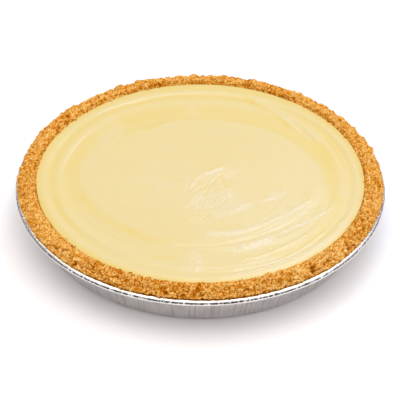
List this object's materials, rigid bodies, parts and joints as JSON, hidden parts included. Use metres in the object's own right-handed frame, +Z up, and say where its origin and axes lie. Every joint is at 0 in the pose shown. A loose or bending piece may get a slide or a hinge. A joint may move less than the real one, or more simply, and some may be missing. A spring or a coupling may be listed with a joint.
{
  "type": "banana cream pie in a foil tin",
  "caption": "Whole round cream pie in its foil tin: craggy biscuit-crumb crust banked over the rim, filled level with smooth pale yellow cream swirled by a spatula.",
  "frame": {"origin": "middle of the tin's base, on the surface that the pie stands on", "axes": "+Z up through the middle of the pie; -Y is the side nearest the viewer, +X to the viewer's right"},
  "size_m": [0.2286, 0.2286, 0.0325],
  "materials": {
    "foil": "thin pressed foil, satin, with a rolled bright rim and fine upright pleats",
    "crumb": "baked biscuit crumb pressed into a crust, golden brown, matte and rough",
    "cream": "set pudding cream, pale yellow, softly glossy and slightly translucent"
  },
  "bodies": {
    "root": {"tin": "foil", "crust": "crumb", "filling": "cream"}
  },
  "joints": []
}
